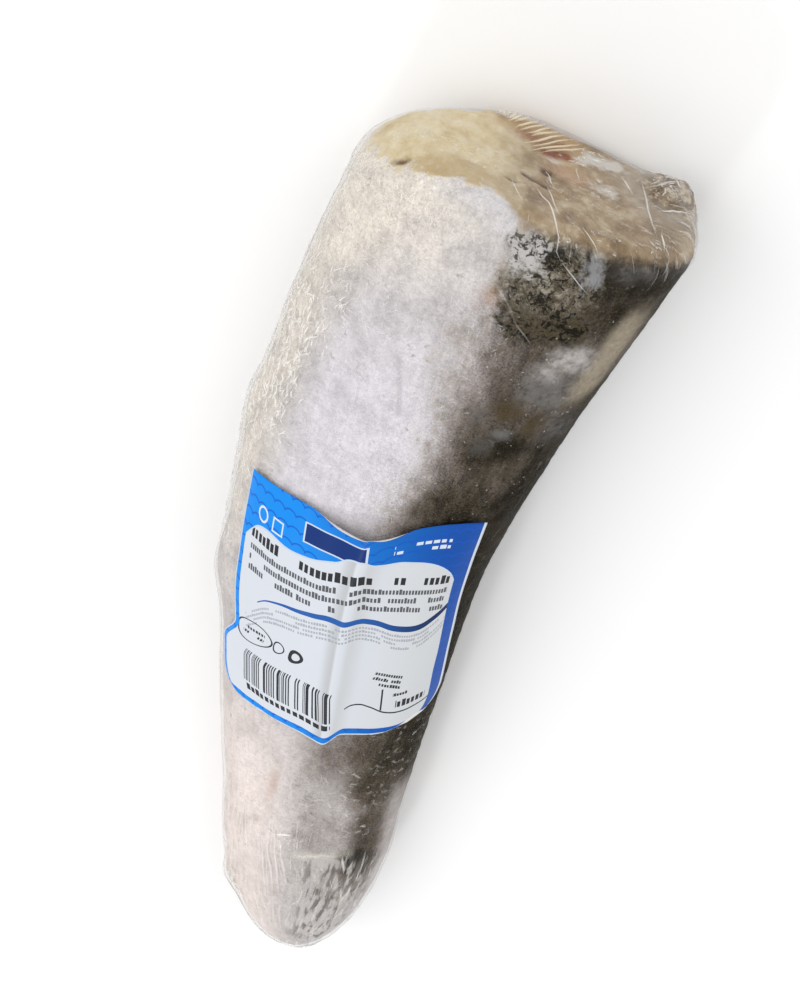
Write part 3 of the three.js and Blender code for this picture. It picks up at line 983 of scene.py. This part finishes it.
def scattered_folds(rng, count, stations, sides, lengths, slant, spread, widths, strength):
    """Short pale folds at random in a stretch of film, mostly painted highlights for its glints: start,
    end, width and strength of each.
    """
    station = rng.uniform(*stations, count)
    degrees = rng.uniform(*sides, count)
    turn = np.radians(rng.normal(slant, spread, count))
    length = rng.uniform(*lengths, count)
    around = np.radians(degrees)
    forward, turning = skin_runs(station, around)
    forward /= np.linalg.norm(forward, axis=-1, keepdims=True)
    turning /= np.linalg.norm(turning, axis=-1, keepdims=True)
    run = (forward * np.cos(turn)[:, None] + turning * np.sin(turn)[:, None]) * length[:, None]
    middle = skin_point(station, around)
    width = rng.uniform(*widths, count)
    strong = strength * rng.uniform(0.4, 1, count)
    return list(zip(middle - run / 2, middle + run / 2, width, strong))


def film_folds_and_glints(tree):
    """Thin pale ridges of doubled film, many standing for glints as painted highlights: at the belly, over
    the head cut, in the ear and round the tail.
    """
    rng = np.random.default_rng(FOLD_SEED)
    folds = pleat_folds(rng)
    folds += [(np.array(start), np.array(end), width, strong) for start, end, width, strong in LONG_FOLDS]
    folds += ear_folds(rng)
    for family in SCATTERED_FOLDS:
        folds += scattered_folds(rng, *family)
    shell = bmesh.new()
    points, thickness, yellow = [], [], []
    for number, (start, end, width, strong) in enumerate(folds):
        bmesh.ops.create_grid(shell, x_segments=2, y_segments=FOLD_STEPS, size=0.5)
        run = end - start
        wave = rng.uniform(-FOLD_WAVE, FOLD_WAVE)
        for along in np.linspace(0, 1, FOLD_STEPS + 1):
            taper = math.sin(math.pi * min(max(along, 0.02), 0.98)) ** 0.6
            spot, normal = tree.find_nearest(Vector(start + run * along))[:2]
            side = normal.cross(Vector(run)).normalized()
            spot = spot + side * wave * math.sin(2 * math.pi * along)
            for across in (-1, 0, 1):
                ridge = 1 - abs(across)
                raised = FOLD_CLEAR + FOLD_RISE * ridge * taper
                points.append(spot + side * across * width * taper / 2 + normal * raised)
                # how opaque each pale strip is, whether a fold or a painted glint
                thickness.append(strong * taper * (0.3 + 0.7 * ridge))
                yellow.append(number < PLEATS)
    points = np.array(points)
    points[:, 2] = np.maximum(points[:, 2], FOLD_FLOOR)
    values = {"thickness": clamp(np.array(thickness)), "yellow": yellow}
    piece = finish_piece("film_folds_and_glints", shell, points, values, fold_and_glint_material())
    return piece


def label_place(across, up):
    """Station, degrees and height over the skin of a place on the label."""
    rise = clamp(up / LABEL_CORNER_HEIGHT)
    rounding = LABEL_CORNER * (1 - np.sqrt(1 - (1 - rise) ** 2))
    lobe = LABEL_LOBE * (1 - soft(*LABEL_LOBE_HEIGHTS, up))
    belly_edge = lerp(*LABEL_BELLY_EDGE, up) + lobe - rounding
    back_edge = lerp(*LABEL_BACK_EDGE, up) + rounding
    degrees = lerp(belly_edge, back_edge, across)
    fold = lerp(*FOLD_AROUND, up)
    on_belly = degrees > fold
    away = (degrees - fold) / (np.where(on_belly, belly_edge, back_edge) - fold)
    reach = np.where(on_belly, away, np.sin(away * math.pi / 2))
    rounded = (np.hypot(away, FOOT_ROUNDING) - FOOT_ROUNDING) * FOOT_STEEPENING
    stepped = FOOT_STEP * soft(0, FOOT_STEP_WIDTH, away) + (1 - FOOT_STEP) * away ** FOOT_SWING
    foot_reach = np.where(on_belly, rounded, stepped)
    top_side = np.where(on_belly, LABEL_TOP["belly"], LABEL_TOP["back"])
    foot_side = np.where(on_belly, LABEL_FOOT["belly"], LABEL_FOOT["back"])
    top = lerp(LABEL_TOP["fold"], top_side, reach)
    foot = lerp(LABEL_FOOT["fold"], foot_side, foot_reach)
    lift = lerp(*FOLD_LIFT, up) / (1 + ((degrees - fold) / FOLD_WIDTH) ** 2)
    return lerp(foot, top, up), degrees, lift


def label_paper():
    """Bare white paper, as on the label's underside."""
    paint = Paint("label_underside")
    return paint.finish(paint.node("ShaderNodeBsdfPrincipled", Base_Color="underside", Roughness=0.7))


def label_block(across, up, sides, heights):
    """A plain filled rectangle on the label."""
    return across.over(sides[0]) * across.under(sides[1]) * up.over(heights[0]) * up.under(heights[1])


def label_bars(paint, across, line, name):
    """Rows of plain short bars in groups, in one block of the label."""
    sides, heights, rows, groups, bars, bare = LABEL_BARS[name]
    place = (line - heights[0]) * (rows / (heights[1] - heights[0]))
    row = place.math("FLOOR")
    part = place.math("FRACT")
    cell = across * bars
    bar = cell.math("FRACT")
    number = cell.math("FLOOR")
    group = paint.node("ShaderNodeCombineXYZ", X=number * (groups / bars), Y=row * 3.7 + sides[0] * 50)
    gaps = paint.node("ShaderNodeTexNoise", Vector=group.outputs[0], Scale=1.0, Detail=0.0)
    single = paint.node("ShaderNodeCombineXYZ", X=number, Y=row)
    varied = paint.node("ShaderNodeTexWhiteNoise", Vector=single.outputs[0])
    change = Field(paint.tree, varied.outputs["Value"])
    shown = Field(paint.tree, gaps.outputs["Fac"]).over(bare)
    wide = bar.over(0.1) * (bar - change * 0.25).under(0.7)
    tall = part.over(0.2) * (part - change.over(0.7) * 0.12).under(0.7)
    return shown * wide * tall * label_block(across, line, sides, heights)


def label_ring(across, up, middle, radii, width):
    """The outline of an oval on the label."""
    left = (across - middle[0]) / radii[0]
    rise = (up - middle[1]) / radii[1]
    far = (left * left + rise * rise).math("SQRT")
    return (far - 1).math("ABSOLUTE").under(width)


def label_line(up, height, width):
    """A thin line that follows a curve over the label."""
    return (up - height).math("ABSOLUTE").under(width)


def label_scales(across, up):
    """Faint overlapping rings, as printed on the header."""
    row = up * LABEL_SCALES
    shift = (row.math("FLOOR") * 0.5).math("FRACT")
    left = (across * LABEL_SCALES + shift).math("FRACT") - 0.5
    rise = row.math("FRACT")
    far = (left * left + rise * rise).math("SQRT")
    return (far - 0.62).math("ABSOLUTE").soft(0.09, 0.02)


def label_white(paint, across):
    """The white of the paper, with painted shade on both sides of the fold."""
    white = paint.mix("cool paper", "paper", across.soft(0.45, 0.85))
    beside = paint.field("fold_side")
    # painted shade in a band on each side of the fold
    white = paint.mix(white, "shaded paper", beside.soft(0.2, 1.2) * beside.soft(5.5, 1.5) * 0.85)
    return paint.mix(white, "lightly shaded paper", beside.soft(-1.5, -4.0) * beside.soft(-11.0, -4.0) * 0.6)


def label_ink(paint, across, up, waver):
    """The dark print under the header: bars, a field of stripes, rings and thin lines."""
    comb = paint.node("ShaderNodeCombineXYZ", X=across * LABEL_STRIPES)
    stripe = paint.node("ShaderNodeTexNoise", Vector=comb.outputs[0], Scale=1.0, Detail=0.0)
    stripes = Field(paint.tree, stripe.outputs["Fac"]).over(0.5)
    ink = label_bars(paint, across, waver, "bold")
    marks = [stripes * label_block(across, up, *LABEL_BLOCKS["stripes"])]
    marks += [label_block(across, up, *LABEL_BLOCKS["post"])]
    marks += [label_bars(paint, across, up, name) for name in ("foot", "corner", "short", "ringed")]
    marks += [label_bars(paint, across, up + across * LABEL_SLANTS["slanted"], "slanted")]
    marks += [label_ring(across, up, *LABEL_RINGS[name]) for name in ("large", "small", "thick")]
    marks += [label_line(up, across.curve(LABEL_SCALE_CURVE), 0.0035) * across.over(0.57)]
    for mark in marks:
        ink = ink.math("MAXIMUM", mark)
    return ink


def label_header(paint, across, up):
    """The blue of the header, with faint scales, a plain sign, a ring, a square and pale bars."""
    blue = paint.mix("header", "deep header", across.soft(0.25, 0.9))
    blue = paint.mix(blue, "scales", label_scales(across, up) * 0.8)
    slanted = up - across * LABEL_SLANTS["sign"]
    for name in ("sign rim", "sign"):
        blue = paint.mix(blue, name, label_block(across, slanted, *LABEL_BLOCKS[name]))
    square = label_block(across, up, *LABEL_BLOCKS["square"])
    square = square - label_block(across, up, *LABEL_BLOCKS["inner square"])
    ring = label_ring(across, up, *LABEL_RINGS["header"])
    bars = label_bars(paint, across, up + across * LABEL_SLANTS["header"], "header")
    return paint.mix(blue, "pale mark", ring.math("MAXIMUM", square).math("MAXIMUM", bars))


def label_material():
    """White coated paper with a blue header, a blue border, a curved line and rows of plain bars."""
    paint = Paint("label_print")
    split = paint.node("ShaderNodeSeparateXYZ", Vector=paint.node("ShaderNodeUVMap").outputs[0])
    across = Field(paint.tree, split.outputs[0])
    level = Field(paint.tree, split.outputs[1])
    up = level * (across.curve(LABEL_STRETCH_CURVE) + 1.0)
    waver = up - (across.curve(LABEL_ROW_CURVE) - 0.5)
    wave = across.curve(LABEL_HEADER_CURVE)
    sweep = across.curve(LABEL_SWEEP_CURVE)

    fine_ink = label_bars(paint, across, up - sweep + 0.5, "fine")
    tone = paint.mix(label_white(paint, across), "faint ink", fine_ink * 0.9)
    tone = paint.mix(tone, "grey ink", label_bars(paint, across, waver, "grey"))
    tone = paint.mix(tone, "black ink", label_ink(paint, across, up, waver))
    sweep_tone = paint.mix("sweep", "dark sweep", across.soft(0.5, 0.9))
    sweep_width = across.soft(0.14, 0.55) * 0.011 + 0.003
    tone = paint.mix(tone, sweep_tone, label_line(up, sweep, sweep_width) * across.over(0.145))

    rim, border = LABEL_BORDER
    inset = across.math("MINIMUM", (across - 1) * -0.45).math("MINIMUM", level)
    blue = (up - wave).over(0.0).math("MAXIMUM", inset.under(border) * inset.over(rim))
    tone = paint.mix(tone, label_header(paint, across, up), blue)
    tone = paint.mix(tone, "header edge", label_line(up, wave, 0.004) * inset.over(border))
    tone = paint.mix(tone, "paper edge", inset.under(rim))
    shader = paint.node("ShaderNodeBsdfPrincipled", Base_Color=tone, Roughness=0.38, Specular_IOR_Level=0.2)
    return paint.finish(shader)


def label_curl(degrees, up):
    """How far the curls of the label's top edge go back along the fish, and away from it."""
    length = np.zeros_like(up)
    for middle, spread, most in CURL_LOBES:
        length = np.maximum(length, most * bell((degrees - middle) / spread))
    rolled = np.maximum(length - (1 - up) * LABEL_HEIGHT, 0)
    turn = rolled / CURL_RADIUS
    return CURL_RADIUS * np.sin(turn) - rolled, CURL_RADIUS * (1 - np.cos(turn))


def label_surface(across, up):
    """Places on the printed side of the label."""
    station, degrees, lift = label_place(across, up)
    around = np.radians(degrees)
    back_along, raised = label_curl(degrees, up)
    creases = 0.25 * ripples(np.stack([across * 7, up * 2.5, np.zeros_like(up)], axis=-1))
    height = LABEL_GAP + lift + raised + creases
    station = station + back_along / BODY_LENGTH
    return skin_point(station, around) + skin_normal(station, around) * height[:, None]


def label_sheet():
    """The paper label, folded over the flank, its top edge curling up at the fold."""
    shell = bmesh.new()
    shell.loops.layers.uv.new("print")
    bmesh.ops.create_grid(shell, x_segments=LABEL_COLUMNS, y_segments=LABEL_ROWS, size=0.5, calc_uvs=True)
    made = bmesh.ops.solidify(shell, geom=list(shell.faces), thickness=LABEL_THICK)
    for part in made["geom"]:
        if isinstance(part, bmesh.types.BMFace):
            part.material_index = 1
    flat = np.array([vert.co[:] for vert in shell.verts])
    across = flat[:, 0] + 0.5
    up = flat[:, 1] + 0.5
    before = np.maximum(across - LABEL_STEP, 0)
    beyond = np.minimum(across + LABEL_STEP, 1)
    below = np.maximum(up - LABEL_STEP, 0)
    higher = np.minimum(up + LABEL_STEP, 1)
    sideways = label_surface(beyond, up) - label_surface(before, up)
    upward = label_surface(across, higher) - label_surface(across, below)
    normal = np.cross(sideways, upward)
    normal /= np.linalg.norm(normal, axis=-1, keepdims=True)
    points = label_surface(across, up) + normal * flat[:, 2:]
    station, degrees, lift = label_place(across, up)
    # degrees from the fold, which place the painted shade beside it
    values = {"fold_side": degrees - lerp(*FOLD_AROUND, up)}
    piece = finish_piece("paper_label", shell, points, values, label_material())
    piece.data.materials.append(label_paper())
    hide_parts("label")
    return piece


def floor():
    """The pale surface that the fish lies on."""
    shell = bmesh.new()
    bmesh.ops.create_grid(shell, x_segments=1, y_segments=1, size=FLOOR_SIZE)
    mesh = bpy.data.meshes.new("floor")
    shell.to_mesh(mesh)
    shell.free()
    paint = Paint("floor_white")
    shader = paint.node("ShaderNodeBsdfPrincipled", Base_Color=FLOOR_WHITE, Roughness=0.9)
    mesh.materials.append(paint.finish(shader))
    piece = bpy.data.objects.new("floor", mesh)
    bpy.context.collection.objects.link(piece)


def camera():
    """A camera above the head end, at the photograph's angle and rolled as the fish lies in it."""
    rise = math.radians(CAMERA_ELEVATION)
    roll = math.radians(CAMERA_ROLL)
    back = Vector((0, math.cos(rise), math.sin(rise)))
    level_up = Vector((0, math.sin(rise), -math.cos(rise)))
    level_right = Vector((1, 0, 0))
    right = math.cos(roll) * level_right - math.sin(roll) * level_up
    upward = math.sin(roll) * level_right + math.cos(roll) * level_up
    target = Vector(to_frame(np.array(CAMERA_TARGET, float)))
    place = target + back * CAMERA_DISTANCE * MM
    tilted_back = (back * math.cos(PICTURE_DROP) - upward * math.sin(PICTURE_DROP)).normalized()
    tilted_up = tilted_back.cross(right).normalized()
    lens = bpy.data.cameras.new("camera")
    lens.lens = CAMERA_LENS
    lens.sensor_width = CAMERA_SENSOR
    eye = bpy.data.objects.new("camera", lens)
    turn = Matrix((right, tilted_up, tilted_back)).transposed().to_4x4()
    eye.matrix_world = Matrix.Translation(place) @ turn
    bpy.context.collection.objects.link(eye)
    bpy.context.scene.camera = eye


def area_light(name, place, size, power):
    """A square soft light aimed at the fish."""
    lamp = bpy.data.lights.new(name, "AREA")
    lamp.size = size
    lamp.energy = power
    light = bpy.data.objects.new(name, lamp)
    spot = Vector(place)
    light.matrix_world = Matrix.Translation(spot) @ spot.to_track_quat("Z", "Y").to_matrix().to_4x4()
    bpy.context.collection.objects.link(light)


def studio():
    """Soft light from above, brighter from the belly side, in a white room."""
    for light in LIGHTS:
        area_light(*light)
    world = bpy.data.worlds.new("room")
    world.use_nodes = True
    sky = world.node_tree.nodes["Background"]
    sky.inputs["Color"].default_value = (1, 1, 1, 1)
    sky.inputs["Strength"].default_value = ROOM_LIGHT
    bpy.context.scene.world = world
    bpy.context.scene.view_settings.view_transform = "Standard"


fish_body()
film_folds_and_glints(film_wrap())
label_sheet()
floor()
camera()
studio()
